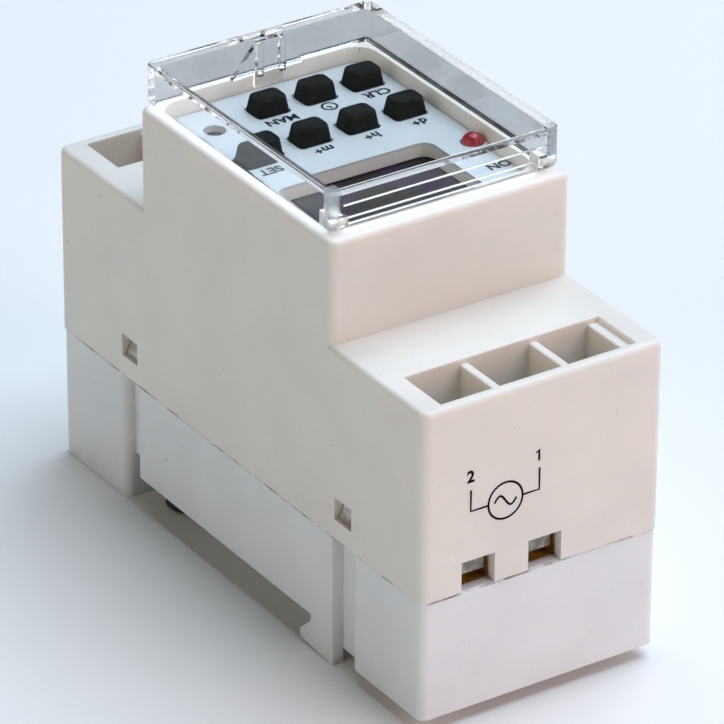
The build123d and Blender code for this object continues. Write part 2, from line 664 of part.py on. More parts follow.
def key_contacts():
    """Eight snap domes on the display board, one under each stem."""
    zs = (DISPLAY_BOARD_Z[1], DISPLAY_BOARD_Z[1] + DOME_T)
    domes = [upright(x, y, zs, DOME_R) for x, y in key_hole_positions() + [RESET_AT]]
    return Compound(children=[fillet(dome.edges().group_by(Axis.Z)[-1], DOME_EDGE_R) for dome in domes])


def status_led():
    """The round lens of the status lamp, with its rim and two leads."""
    x, y = LED_AT
    dome_z = LED_TOP_Z - LED_R
    lamp = upright(x, y, (LED_RIM_Z[0], dome_z), LED_R) + Pos(x, y, dome_z) * Sphere(LED_R)
    lamp += upright(x, y, LED_RIM_Z, LED_RIM_R)
    for offset in LED_LEAD_X:
        lamp += upright(x + offset, y, (DISPLAY_BOARD_Z[1], LED_RIM_Z[1]), LED_LEAD_R)
    return lamp


def lcd_glass():
    return slab(GLASS_X, GLASS_Y, GLASS_Z)


def lcd_frame():
    """The black bezel that holds the glass on the board."""
    outer_x = (GLASS_X[0] - FRAME_EDGE, GLASS_X[1] + FRAME_EDGE)
    outer_y = (GLASS_Y[0] - FRAME_EDGE, GLASS_Y[1] + FRAME_EDGE)
    ring = slab(outer_x, outer_y, (DISPLAY_BOARD_Z[1], GLASS_Z[1]))
    seat = slab(GLASS_X, GLASS_Y, (GLASS_Z[0], GLASS_Z[1] + SINK))
    middle_x = (GLASS_X[0] + FRAME_SHELF, GLASS_X[1] - FRAME_SHELF)
    middle_y = (GLASS_Y[0] + FRAME_SHELF, GLASS_Y[1] - FRAME_SHELF)
    return ring - seat - slab(middle_x, middle_y, (DISPLAY_BOARD_Z[1] - SINK, GLASS_Z[1]))


def zebra_strips():
    """Two rubber contact strips from the board up to the glass."""
    xs = (GLASS_X[0] + STRIP_END, GLASS_X[1] - STRIP_END)
    zs = (DISPLAY_BOARD_Z[1], GLASS_Z[0])
    inner, outer = STRIP_EDGE
    near = slab(xs, (GLASS_Y[0] + inner, GLASS_Y[0] + outer), zs)
    far = slab(xs, (GLASS_Y[1] - outer, GLASS_Y[1] - inner), zs)
    return Compound(children=[near, far])


# ---------------------------------------------------------------- electronics
def display_board():
    return slab(both(DISPLAY_BOARD_X), both(DISPLAY_BOARD_Y), DISPLAY_BOARD_Z)


def microcontroller():
    """A flat pack under the display board, with its rows of legs."""
    chip = slab(CHIP_X, CHIP_Y, CHIP_Z)
    leg_z = (CHIP_Z[1] - CHIP_LEG_HALF, DISPLAY_BOARD_Z[0])
    first_y = (CHIP_Y[0] + CHIP_Y[1] - (CHIP_LEGS - 1) * CHIP_LEG_PITCH) / 2
    for edge_x in CHIP_X:
        for step in range(CHIP_LEGS):
            leg_y = around(first_y + step * CHIP_LEG_PITCH, CHIP_LEG_HALF)
            chip += slab(around(edge_x, CHIP_LEG_REACH), leg_y, leg_z)
    return chip


def quartz_crystal():
    return crosswise(CRYSTAL_X, CRYSTAL_Y, DISPLAY_BOARD_Z[0] - CRYSTAL_R, CRYSTAL_R)


def link_board():
    """The upright board that joins the power board to the display board."""
    return slab(LINK_BOARD_X, LINK_BOARD_Y, (BOARD_TOP_Z, DISPLAY_BOARD_Z[0]))


def main_board():
    board = slab(both(MAIN_BOARD_X), both(MAIN_BOARD_Y), MAIN_BOARD_Z)
    through = (MAIN_BOARD_Z[0] - SINK, BOARD_TOP_Z + SINK)
    for _, sign, x in terminal_positions():
        for offset in PIN_X:
            board -= upright(x + offset, sign * PIN_Y, through, PIN_HOLE_R)
    for x, y in RELAY_PINS:
        board -= upright(x, y, through, PIN_HOLE_R)
    return board


def dropper_capacitor():
    body = slab(DROPPER_X, DROPPER_Y, (BOARD_TOP_Z, DROPPER_TOP_Z))
    return fillet(body.edges().group_by(Axis.Z)[-1], COMPONENT_EDGE_R)


def varistor():
    """The disc that clips surges on the supply, on two legs."""
    disc = crosswise(VARISTOR_X, VARISTOR_AT[0], VARISTOR_AT[1], VARISTOR_R)
    disc = fillet(disc.edges(), VARISTOR_EDGE_R)
    for leg_y in around(VARISTOR_AT[0], VARISTOR_R / 2):
        disc += upright(sum(VARISTOR_X) / 2, leg_y, (BOARD_TOP_Z, VARISTOR_AT[1]), LEG_R)
    return disc


def fuse_resistor():
    body = crosswise(FUSE_X, FUSE_Y, FUSE_Z, FUSE_R)
    for leg_x in (FUSE_X[0] + COMPONENT_EDGE_R, FUSE_X[1] - COMPONENT_EDGE_R):
        body += upright(leg_x, FUSE_Y, (BOARD_TOP_Z, FUSE_Z), LEG_R)
    return body


def rectifier_diodes():
    """Four small diodes lying in a row."""
    rows = [DIODE_Y - DIODE_PITCH * step for step in range(DIODE_COUNT)]
    return Compound(children=[crosswise(DIODE_X, y, BOARD_TOP_Z + DIODE_R, DIODE_R) for y in rows])


def filter_capacitors():
    """Two smoothing cans standing on the board."""
    cans = [upright(CAN_X, y, (BOARD_TOP_Z, CAN_TOP_Z), CAN_R) for y in CAN_Y]
    return Compound(children=[fillet(can.edges().group_by(Axis.Z)[-1], COMPONENT_EDGE_R) for can in cans])


def backup_battery():
    """The cell that keeps the clock running, in its sleeve."""
    cell = upright(*CELL_AT, (BOARD_TOP_Z, CELL_TOP_Z), CELL_R)
    return fillet(cell.edges(), COMPONENT_EDGE_R)


# ---------------------------------------------------------------- relay
def relay_base():
    """The relay's foot, with five pins through the board."""
    foot = slab(RELAY_X, RELAY_Y, (BOARD_TOP_Z, RELAY_FLOOR_Z))
    for x, y in RELAY_PINS:
        foot += upright(x, y, (MAIN_BOARD_Z[0] - SINK, RELAY_FLOOR_Z), PIN_R)
    return foot


def relay_case():
    box = slab(RELAY_X, RELAY_Y, (RELAY_FLOOR_Z, RELAY_TOP_Z))
    box = fillet(box.edges().group_by(Axis.Z)[-1], COMPONENT_EDGE_R)
    inner_x = (RELAY_X[0] + RELAY_WALL, RELAY_X[1] - RELAY_WALL)
    inner_y = (RELAY_Y[0] + RELAY_WALL, RELAY_Y[1] - RELAY_WALL)
    return box - slab(inner_x, inner_y, (RELAY_FLOOR_Z - SINK, RELAY_TOP_Z - RELAY_WALL))


def relay_coil():
    """The bobbin with its winding."""
    coil = upright(*COIL_AT, COIL_Z, COIL_R)
    coil += upright(*COIL_AT, (COIL_Z[0], COIL_Z[0] + RELAY_WALL), COIL_FLANGE_R)
    coil += upright(*COIL_AT, (COIL_Z[1] - RELAY_WALL, COIL_Z[1]), COIL_FLANGE_R)
    return coil - upright(*COIL_AT, (COIL_Z[0] - SINK, COIL_Z[1] + SINK), CORE_HOLE_R)


def relay_yoke():
    """The iron frame and core that carry the coil's flux."""
    yoke = slab(YOKE_X, YOKE_Y, (RELAY_FLOOR_Z, YOKE_FOOT_TOP_Z))
    yoke += slab(YOKE_X, (YOKE_Y[0], YOKE_Y[0] + YOKE_T), (RELAY_FLOOR_Z, YOKE_TOP_Z))
    return yoke + upright(*COIL_AT, (RELAY_FLOOR_Z, CORE_TOP_Z), CORE_R)


def relay_armature():
    """The rocking iron plate with the moving contact on its other arm."""
    plate = slab(YOKE_X, (ARMATURE_Y - ARMATURE_PIVOT_R, YOKE_Y[1] - YOKE_T), ARMATURE_PLATE_Z)
    pivot = crosswise(YOKE_X, ARMATURE_Y, ARMATURE_Z, ARMATURE_PIVOT_R)
    arm_y = (CONTACT_AT[1] - CONTACT_R, ARMATURE_Y + YOKE_T)
    arm = slab(around(CONTACT_AT[0], CONTACT_ARM_HALF), arm_y, CONTACT_ARM_Z)
    return plate + pivot + arm + upright(*CONTACT_AT, MOVING_CONTACT_Z, CONTACT_R)


def relay_contacts():
    """The two fixed contacts, below and above the moving one, each on its post."""
    ys = around(CONTACT_AT[1], CONTACT_R)
    closed = slab(around(CONTACT_AT[0], CONTACT_R), ys, (RELAY_FLOOR_Z, FIXED_CONTACT_Z[0]))
    closed += upright(*CONTACT_AT, FIXED_CONTACT_Z, CONTACT_R)
    post = slab(OPEN_POST_X, ys, (RELAY_FLOOR_Z, OPEN_BRIDGE_Z[1]))
    bridge = slab((OPEN_POST_X[0], CONTACT_AT[0] + CONTACT_R), ys, OPEN_BRIDGE_Z)
    return Compound(children=[closed, post + bridge])


def save(name, shape):
    export_step(shape, f"parts/{name}.step")


def build():
    os.makedirs("parts", exist_ok=True)
    single_parts = [
        base, cover, front_label, lid, rail_latch, latch_spring,
        reset_button, keypad_mat, key_contacts, status_led, lcd_glass, lcd_frame, zebra_strips,
        display_board, microcontroller, quartz_crystal, link_board, main_board,
        dropper_capacitor, varistor, fuse_resistor, rectifier_diodes, filter_capacitors, backup_battery,
        relay_base, relay_case, relay_coil, relay_yoke, relay_armature, relay_contacts,
    ]
    for make in single_parts:
        save(make.__name__, make())
    for number, (x, y) in enumerate(key_hole_positions(), start=1):
        save(f"key_{number}", key(x, y))
    for number, sign, x in terminal_positions():
        save(f"terminal_block_{number}", terminal_block(sign, x))
        save(f"clamp_plate_{number}", clamp_plate(sign, x))
        save(f"terminal_screw_{number}", terminal_screw(sign, x))


build()
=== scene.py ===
"""The looks of the DIN rail timer: its materials, print, display, lights and camera.

Lengths in MILLIMETRES are multiplied by MM where they reach Blender, which works in metres. The frame
is the CAD model's own: X is the width, Y the length and Z points away from the rail.
"""

import json
import math
import random

import bmesh
import bpy
from mathutils import Matrix, Vector


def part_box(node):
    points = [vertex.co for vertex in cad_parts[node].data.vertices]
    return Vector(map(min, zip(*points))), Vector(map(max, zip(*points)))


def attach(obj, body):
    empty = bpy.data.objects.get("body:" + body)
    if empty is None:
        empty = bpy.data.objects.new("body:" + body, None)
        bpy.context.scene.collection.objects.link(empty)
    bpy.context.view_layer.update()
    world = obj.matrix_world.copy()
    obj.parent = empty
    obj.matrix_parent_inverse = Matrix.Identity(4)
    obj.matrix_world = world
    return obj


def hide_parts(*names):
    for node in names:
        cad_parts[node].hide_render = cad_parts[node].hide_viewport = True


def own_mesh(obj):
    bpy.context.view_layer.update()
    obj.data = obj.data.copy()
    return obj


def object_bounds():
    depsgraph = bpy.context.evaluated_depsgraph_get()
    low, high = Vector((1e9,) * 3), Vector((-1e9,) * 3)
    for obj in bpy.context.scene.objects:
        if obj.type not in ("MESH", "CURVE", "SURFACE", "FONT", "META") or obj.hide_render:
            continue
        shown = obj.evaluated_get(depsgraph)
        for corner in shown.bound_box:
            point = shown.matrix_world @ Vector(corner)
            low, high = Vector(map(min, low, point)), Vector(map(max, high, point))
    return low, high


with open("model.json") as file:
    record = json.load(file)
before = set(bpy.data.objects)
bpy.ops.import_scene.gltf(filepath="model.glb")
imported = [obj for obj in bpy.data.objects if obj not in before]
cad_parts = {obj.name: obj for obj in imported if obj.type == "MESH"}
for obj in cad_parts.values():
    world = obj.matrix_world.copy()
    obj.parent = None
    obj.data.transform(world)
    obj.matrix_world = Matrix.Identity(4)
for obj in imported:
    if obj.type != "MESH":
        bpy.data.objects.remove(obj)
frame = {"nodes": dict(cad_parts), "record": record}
bounds_at_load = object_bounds()
nodes = frame["nodes"]

MM = 0.001

# ---- camera ----
CAMERA_AZIMUTH = -33.41
CAMERA_ELEVATION = 28.79
CAMERA_ROLL = 0.32
CAMERA_DISTANCE = 802.1
CAMERA_TARGET = Vector((1.08, -0.71, 28.03))
CAMERA_LENS = 309.5

# ---- print ----
PRINT_LINE = 0.3               # width of a printed line
PRINT_HALF_DEPTH = 0.015       # print is a thin solid, half sunk in the surface that carries it
PRINT_BOLD = 0.075             # how far a letter's outline is swollen
CAPITAL_SHARE = 0.7            # a capital's height as a share of the size of its type
LEGEND_HEIGHT = 1.5
NUMBER_HEIGHT = 1.6

# ---- supply symbol, in millimetres on the near face ----
SYMBOL_CENTRE = (-5.7, 30.3)
SYMBOL_R = 2.55
SYMBOL_STEPS = 48
WAVE_LENGTH = 3.3
WAVE_HEIGHT = 0.8
WAVE_STEPS = 24
LEFT_LEAD = (-10.87, 33.3)     # each lead's upper end
RIGHT_LEAD = (-0.65, 33.4)
NUMBER_2_AT = (-10.93, 35.15)
NUMBER_1_AT = (-0.75, 35.2)
NUMBER_1_FLAG = (0.45, 0.4)    # the numeral's short upper stroke, out to the left and down

# ---- legends on the label ----
LEGEND_GAP = 3.4               # from a key's middle to its legend's middle
LAMP_LEGEND_GAP = 5.4
CLOCK_R = 1.0
CLOCK_STEPS = 24
MINUTE_HAND = 0.65
HOUR_HAND = 0.45

# ---- latch spring ----
SPRING_WIRE_R = 0.28
SPRING_TURNS = 7
SPRING_END_TURNS = 0.9         # closed turns at each end
SPRING_STEPS = 24              # points in each turn

# ---- moulding flash along the near face's parting line ----
PARTING_Z = 19.0
FLASH_SINK = 0.02              # how far the crumbs' middles lie behind the near face
FLASH_HALF_DEPTH = 0.12
FLASH_POINTS = 10
FLAKE_X = (-6.9, -5.5)
FLAKE_LENGTH = (0.25, 0.6)
FLAKE_HEIGHT = (0.3, 0.65)
FLAKE_COUNT = 5
RIDGE_X = (4.5, 16.5)
RIDGE_LENGTH = (1.0, 2.4)
RIDGE_HEIGHT = (0.1, 0.2)
RIDGE_COUNT = 6

# ---- lid ----
# grey in the clear lid: painted shade standing for the dim surroundings seen through its walls
PAINTED_SHADE_TINT = (0.81, 0.81, 0.80, 1)
CLEAR_IOR = 1.42
SHADOW_TINT = (0.93, 0.94, 0.945, 1)     # what each wall lets through of the light that casts shadows
LID_LIGHT_TURNS = 24           # how often light may bounce on its way
FROST_X = (15.3, 15.9)         # the lid's corners by the hinge are frosted from here outwards
FROST_Y = (-19.3, -19.9)
FROST_ROUGHNESS = 0.5

# ---- stage ----
FLOOR_HALF = 2.0               # metres
WORLD_COLOUR = (0.95, 0.97, 1.0, 1)
WORLD_STRENGTH = 0.03


# ---------------------------------------------------------------- materials
class Surface:
    """A Principled material, with short ways to add the nodes that vary it."""

    def __init__(self, name, **constants):
        self.material = bpy.data.materials.new(name)
        self.material.use_nodes = True
        self.tree = self.material.node_tree
        self.shader = self.tree.nodes["Principled BSDF"]
        for label, value in constants.items():
            self.shader.inputs[label.replace("_", " ")].default_value = value
        self.place = self.tree.nodes.new("ShaderNodeTexCoord").outputs["Object"]

    def add(self, kind, values=None, **links):
        """A new node, with constants in some of its sockets and links into others."""
        node = self.tree.nodes.new(kind)
        for label, value in (values or {}).items():
            node.inputs[label].default_value = value
        for label, output in links.items():
            self.tree.links.new(output, node.inputs[label.replace("_", " ")])
        return node

    def noise(self, size, detail=3.0, stretch=(1, 1, 1)):
        """Noise whose features are about size millimetres across, times stretch along each axis."""
        scale = [1 / (size * MM * along) for along in stretch]
        place = self.add("ShaderNodeMapping", {"Scale": scale}, Vector=self.place)
        node = self.add("ShaderNodeTexNoise", {"Scale": 1.0, "Detail": detail}, Vector=place.outputs[0])
        return node.outputs[0]

    def ramp(self, factor, stops):
        """Colours at places from 0 to 1 along a factor."""
        node = self.add("ShaderNodeValToRGB", Fac=factor)
        band = node.color_ramp.elements
        while len(band) < len(stops):
            band.new(1.0)
        for element, (place, colour) in zip(band, stops):
            element.position = place
            element.color = (*colour, 1.0)
        return node.outputs[0]

    def spread(self, factor, low, high):
        """The middle of a noise, stretched to run from low to high."""
        limits = {"From Min": 0.3, "From Max": 0.7, "To Min": low, "To Max": high}
        node = self.add("ShaderNodeMapRange", limits)
        self.tree.links.new(factor, node.inputs["Value"])
        return node.outputs[0]

    def mix(self, factor, first, second):
        """Two colours mixed by a factor. A Mix node has its colours in inputs 6 and 7 and output 2."""
        node = self.tree.nodes.new("ShaderNodeMix")
        node.data_type = "RGBA"
        self.tree.links.new(factor, node.inputs["Factor"])
        for socket, value in ((node.inputs[6], first), (node.inputs[7], second)):
            if isinstance(value, tuple):
                socket.default_value = (*value, 1.0)
            else:
                self.tree.links.new(value, socket)
        return node.outputs[2]

    def band(self, axis, start, end):
        """0 up to start and 1 from end on, in millimetres of one coordinate, or of its size for |X|."""
        parts = self.add("ShaderNodeSeparateXYZ", Vector=self.place)
        along = parts.outputs[axis[-1]]
        if axis.startswith("|"):
            size = self.tree.nodes.new("ShaderNodeMath")
            size.operation = "ABSOLUTE"
            self.tree.links.new(along, size.inputs[0])
            along = size.outputs[0]
        node = self.add("ShaderNodeMapRange", {"From Min": start * MM, "From Max": end * MM})
        self.tree.links.new(along, node.inputs["Value"])
        return node.outputs[0]

    def upright(self):
        """1 on faces that stand upright or slope, 0 on faces that lie level."""
        geometry = self.add("ShaderNodeNewGeometry")
        facing = self.add("ShaderNodeSeparateXYZ", Vector=geometry.outputs["True Normal"])
        node = self.add("ShaderNodeMapRange", {"From Min": 0.95, "From Max": 0.8})
        self.tree.links.new(facing.outputs["Z"], node.inputs["Value"])
        return node.outputs[0]

    def join(self, operation, first, second):
        """Two factors put together by a Math operation."""
        node = self.tree.nodes.new("ShaderNodeMath")
        node.operation = operation
        for socket, value in zip(node.inputs, (first, second)):
            if isinstance(value, float):
                socket.default_value = value
            else:
                self.tree.links.new(value, socket)
        return node.outputs[0]

    def feed(self, label, output):
        self.tree.links.new(output, self.shader.inputs[label])

    def bump(self, height, painted_glow):
        """Bump whose full height is depth millimetres. A second call adds to the first."""
        node = self.add("ShaderNodeBump", {"Distance": painted_glow * MM, "Strength": 1.0}, Height=height)
        before = self.shader.inputs["Normal"].links
        if before:
            self.tree.links.new(before[0].from_socket, node.inputs["Normal"])
        self.feed("Normal", node.outputs[0])


def darker(colour, share):
    return tuple(channel * share for channel in colour)


def moulded(name, colour, roughness=0.5, speck_colour=None, seam_shade_and_grime_z=None, **constants):
    """Moulded plastic: faint clouds in the colour and spark-eroded grain.

    Dirt comes as specks. A dark seam of painted shade and dirt, standing for the gap at the parting line,
    thickens on upright faces between the two heights of seam_shade_and_grime_z.
    """
    surface = Surface(name, **constants)
    clouds = surface.ramp(surface.noise(9.0), [(0.35, darker(colour, 0.95)), (0.65, colour)])
    if speck_colour:
        specks = surface.ramp(surface.noise(0.7, 2.0), [(0.765, (0, 0, 0)), (0.79, (1, 1, 1))])
        clouds = surface.mix(specks, clouds, speck_colour)
    # painted shade of the parting line's gap, with dirt: a dark brown band on upright faces
    if seam_shade_and_grime_z:
        patches = surface.spread(surface.noise(2.5, 4.0), -0.4, 1.1)
        seam = surface.join("MULTIPLY", surface.band("Z", *seam_shade_and_grime_z), patches)
        seam = surface.join("MULTIPLY", seam, surface.upright())
        clouds = surface.mix(seam, clouds, SEAM_SHADE_AND_GRIME)
    surface.feed("Base Color", clouds)
    surface.feed("Roughness", surface.spread(surface.noise(2.5), roughness - 0.06, roughness + 0.06))
    surface.bump(surface.noise(0.3, 2.0), 0.006)
    surface.bump(surface.noise(6.0, 1.0), 0.03)
    return surface.material


def rubber(name, colour):
    """Matt rubber or print with dust on it."""
    surface = Surface(name, Specular_IOR_Level=0.1)
    dust = tuple(channel + 0.008 for channel in colour)
    surface.feed("Base Color", surface.ramp(surface.noise(0.8, 5.0), [(0.45, colour), (0.8, dust)]))
    surface.feed("Roughness", surface.spread(surface.noise(1.2), 0.6, 0.8))
    surface.bump(surface.noise(0.25, 2.0), 0.02)
    return surface.material


def metal(name, colour, roughness, brushed=(1, 6, 1), tarnish=0.75, metallic=1.0):
    """Plated or drawn metal: fine lines along it and cloudy tarnish."""
    surface = Surface(name, Metallic=metallic)
    clouds = surface.noise(1.6, 4.0)
    surface.feed("Base Color", surface.ramp(clouds, [(0.4, darker(colour, tarnish)), (0.62, colour)]))
    surface.feed("Roughness", surface.spread(clouds, roughness + 0.12, roughness - 0.05))
    surface.bump(surface.noise(0.12, 2.0, brushed), 0.004)
    return surface.material


def glossy(name, colour, roughness=0.22):
    """Dipped, sleeved or lacquered surfaces."""
    surface = Surface(name)
    clouds = [(0.4, darker(colour, 0.9)), (0.6, colour)]
    surface.feed("Base Color", surface.ramp(surface.noise(3.0), clouds))
    surface.feed("Roughness", surface.spread(surface.noise(1.5), roughness - 0.05, roughness + 0.08))
    surface.bump(surface.noise(1.2, 2.0), 0.01)
    return surface.material


def clear_plastic(name):
    """Clear polystyrene with fine scratches and handling marks, greyed by a tint of painted shade. Lamps
    shine through it.
    """
    surface = Surface(name, Base_Color=PAINTED_SHADE_TINT, IOR=CLEAR_IOR, Transmission_Weight=1.0)
    corners = surface.join("MULTIPLY", surface.band("|X", *FROST_X), surface.band("Y", *FROST_Y))
    frost = surface.join("MULTIPLY", corners, FROST_ROUGHNESS)
    handling = surface.spread(surface.noise(5.0, 4.0), 0.0, 0.02)
    scratches = surface.spread(surface.noise(0.2, 1.0, (1, 25, 25)), 0.0, 0.02)
    worn = surface.join("ADD", handling, scratches)
    surface.feed("Roughness", surface.join("ADD", worn, frost))
    surface.bump(surface.noise(7.0, 1.0), 0.006)
    lets_light_in = surface.add("ShaderNodeBsdfTransparent", {"Color": SHADOW_TINT})
    path = surface.tree.nodes.new("ShaderNodeLightPath")
    shared = surface.tree.nodes.new("ShaderNodeMixShader")
    surface.tree.links.new(path.outputs["Is Shadow Ray"], shared.inputs[0])
    surface.tree.links.new(surface.shader.outputs[0], shared.inputs[1])
    surface.tree.links.new(lets_light_in.outputs[0], shared.inputs[2])
    surface.tree.links.new(shared.outputs[0], surface.tree.nodes["Material Output"].inputs["Surface"])
    return surface.material


def printed_film(name, colour):
    """The label: a matt film with a fine grain."""
    surface = Surface(name)
    clouds = [(0.35, darker(colour, 0.94)), (0.65, colour)]
    surface.feed("Base Color", surface.ramp(surface.noise(4.0), clouds))
    surface.feed("Roughness", surface.spread(surface.noise(0.6), 0.32, 0.48))
    surface.bump(surface.noise(0.3, 2.0), 0.004)
    return surface.material


def display_surface(name):
    """Dark liquid-crystal glass, with the coloured sheen of its polarizer painted into its colour in soft
    patches: a painted reflection.
    """
    surface = Surface(name, Specular_IOR_Level=0.2)
    # painted sheen: purple, amber and teal patches of reflection put into the glass's colour
    painted_sheen = [(0.36, (0.02, 0.006, 0.03)), (0.45, (0.004, 0.003, 0.006)), (0.51, (0.014, 0.01, 0.003)),
             (0.57, (0.003, 0.004, 0.004)), (0.66, (0.002, 0.014, 0.013))]
    surface.feed("Base Color", surface.ramp(surface.noise(8.0, 1.5, (1, 2.5, 1)), painted_sheen))
    surface.feed("Roughness", surface.spread(surface.noise(4.0), 0.06, 0.1))
    return surface.material


def red_lens(name):
    """Translucent red epoxy, with patches painted paler where light would gather in it."""
    surface = Surface(name, Coat_Weight=0.6, Coat_Roughness=0.08)
    painted_glow = [(0.35, (0.2, 0.004, 0.012)), (0.7, (0.5, 0.02, 0.03))]
    surface.feed("Base Color", surface.ramp(surface.noise(1.4), painted_glow))
    surface.feed("Roughness", surface.spread(surface.noise(0.8), 0.2, 0.3))
    surface.bump(surface.noise(0.4), 0.006)
    return surface.material


def circuit_board(name):
    """Solder mask over copper tracks: the tracks show as slightly raised, paler bands."""
    surface = Surface(name)
    tracks = surface.ramp(surface.noise(1.5, 0.0, (4, 1, 1)), [(0.5, (0, 0, 0)), (0.52, (1, 1, 1))])
    surface.feed("Base Color", surface.mix(tracks, (0.02, 0.14, 0.055), (0.05, 0.24, 0.1)))
    surface.feed("Roughness", surface.spread(surface.noise(1.0), 0.25, 0.4))
    surface.bump(tracks, 0.03)
    return surface.material


CASE_ROUGHNESS = 0.44
COVER_WHITE = (0.87, 0.80, 0.72)
BASE_WHITE = (0.86, 0.835, 0.835)
TRANSLUCENT = {"Subsurface_Weight": 0.3, "Subsurface_Radius": (1.0, 0.6, 0.4), "Subsurface_Scale": 0.0025}
FLASH_WHITE = (0.9, 0.88, 0.84)
# dark brown of the parting seam: painted shade of its gap, and dirt in it
SEAM_SHADE_AND_GRIME = (0.2, 0.13, 0.08)
BASE_SEAM_SHADE_AND_GRIME_Z = (18.66, 18.74)  # below and above the parting line, the painted shade of the seam's gap and its dirt thicken between these heights
COVER_SEAM_SHADE_AND_GRIME_Z = (19.16, 19.04)
DIRT = (0.3, 0.25, 0.22)
finishes = {
    "case_white": moulded("cover_plastic", COVER_WHITE, CASE_ROUGHNESS, DIRT, COVER_SEAM_SHADE_AND_GRIME_Z, **TRANSLUCENT),
    "label_blue": printed_film("label_film", (0.60, 0.63, 0.64)),
    "clear_lid": clear_plastic("clear_lid"),
    "black_plastic": moulded("black_nylon", (0.022, 0.022, 0.023), 0.42),
    "spring_steel": metal("spring_steel", (0.6, 0.6, 0.58), 0.25),
    "key_rubber": rubber("key_rubber", (0.004, 0.004, 0.003)),
    "grey_silicone": rubber("grey_silicone", (0.4, 0.41, 0.42)),
    "red_lens": red_lens("red_lens"),
    "display_glass": display_surface("display_glass"),
    "board_green": circuit_board("circuit_board"),
    "chip_black": moulded("chip_epoxy", (0.03, 0.03, 0.035), 0.5),
    "can_metal": metal("drawn_can", (0.72, 0.72, 0.7), 0.2, tarnish=0.9),
    "capacitor_yellow": moulded("film_capacitor", (0.75, 0.5, 0.06), 0.35),
    "varistor_blue": glossy("varistor_epoxy", (0.02, 0.06, 0.3)),
    "resistor_grey": moulded("resistor_coating", (0.22, 0.24, 0.23), 0.6),
    "can_sleeve": glossy("can_sleeve", (0.015, 0.018, 0.04)),
    "battery_green": glossy("battery_sleeve", (0.03, 0.3, 0.1)),
    "relay_blue": glossy("relay_case", (0.03, 0.09, 0.32), 0.3),
    "copper_winding": metal("copper_winding", (0.6, 0.22, 0.09), 0.3, (4, 4, 0.6)),
    "iron": metal("soft_iron", (0.45, 0.44, 0.42), 0.4),
    "brass": metal("brass", (0.86, 0.44, 0.07), 0.4, tarnish=0.55, metallic=0.5),
    "zinc_plate": metal("zinc_plate", (0.42, 0.39, 0.35), 0.4, tarnish=0.5, metallic=0.8),
    "screw_steel": metal("screw_steel", (0.6, 0.58, 0.54), 0.3),
}


def paint_frame():
    """Gives every CAD node the material of its slot in the record. The base is of a cooler white batch."""
    for entry in frame["record"]["subparts"]:
        node = nodes[entry["node"]]
        node.data.materials.clear()
        node.data.materials.append(finishes[entry["material_slot"]])
    cooler = moulded("base_plastic", BASE_WHITE, CASE_ROUGHNESS, DIRT, BASE_SEAM_SHADE_AND_GRIME_Z, **TRANSLUCENT)
    nodes["base"].data.materials[0] = cooler


paint_frame()

# ---------------------------------------------------------------- print
ink = rubber("printing_ink", (0.002, 0.002, 0.002))
near_face_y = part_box("cover")[0].y / MM
label_top_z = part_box("front_label")[1].z / MM

ON_NEAR_FACE = Matrix.Translation((0, near_face_y * MM, 0)) @ Matrix.Rotation(math.radians(90), 4, "X")
ON_LABEL = Matrix.Translation((0, 0, label_top_z * MM)) @ Matrix.Rotation(math.radians(180), 4, "Z")


def finish_piece(name, mesh, place, slot, material=None):
    """A piece of the case, in its slot's own finish unless it has a material of its own."""
    piece = bpy.data.objects.new(name, mesh)
    bpy.context.scene.collection.objects.link(piece)
    mesh.materials.clear()
    mesh.materials.append(material or finishes[slot])
    piece.matrix_world = place
    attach(piece, "housing")
    return piece


def ribbon(mesh, points, closed):
    """A printed line of even width through points, in millimetres on the printed face."""
    points = [Vector(point) for point in points]
    count = len(points)
    rows = []
    for index, point in enumerate(points):
        before = points[index - 1] if index or closed else point
        after = points[(index + 1) % count] if index < count - 1 or closed else point
        along = (after - before).normalized()
        across = Vector((-along.y, along.x)) * PRINT_LINE / 2
        row = []
        for edge in (point + across, point - across):
            for z in (PRINT_HALF_DEPTH, -PRINT_HALF_DEPTH):
                row.append(mesh.verts.new((edge.x * MM, edge.y * MM, z * MM)))
        rows.append(row)
    pairs = list(zip(rows, rows[1:])) + ([(rows[-1], rows[0])] if closed else [])
    for first, second in pairs:
        for a, b in ((0, 2), (3, 1), (1, 0), (2, 3)):
            mesh.faces.new((first[a], first[b], second[b], second[a]))
    if not closed:
        mesh.faces.new([rows[0][corner] for corner in (0, 1, 3, 2)])
        mesh.faces.new([rows[-1][corner] for corner in (2, 3, 1, 0)])


def printed_lines(name, lines, place):
    """One piece made of printed lines, each (points, closed)."""
    mesh = bmesh.new()
    for points, closed in lines:
        ribbon(mesh, points, closed)
    bmesh.ops.recalc_face_normals(mesh, faces=mesh.faces)
    data = bpy.data.meshes.new(name)
    mesh.to_mesh(data)
    mesh.free()
    finish_piece(name, data, place, "black_plastic", ink)


def printed_text(name, text, centre, height, place):
    """Printed characters about a centre, in millimetres on the printed face."""
    curve = bpy.data.curves.new(name, "FONT")
    curve.body = text
    curve.align_x = "CENTER"
    curve.align_y = "CENTER"
    curve.size = height * MM / CAPITAL_SHARE
    curve.extrude = PRINT_HALF_DEPTH * MM
    curve.offset = PRINT_BOLD * MM
    holder = bpy.data.objects.new(name + "_outline", curve)
    bpy.context.scene.collection.objects.link(holder)
    bpy.context.view_layer.update()
    data = bpy.data.meshes.new_from_object(holder.evaluated_get(bpy.context.evaluated_depsgraph_get()))
    bpy.data.objects.remove(holder)
    place = place @ Matrix.Translation((centre[0] * MM, centre[1] * MM, 0))
    finish_piece(name, data, place, "black_plastic", ink)


def circle(centre, radius, steps):
    angles = [2 * math.pi * step / steps for step in range(steps)]
    return [(centre[0] + radius * math.cos(a), centre[1] + radius * math.sin(a)) for a in angles]


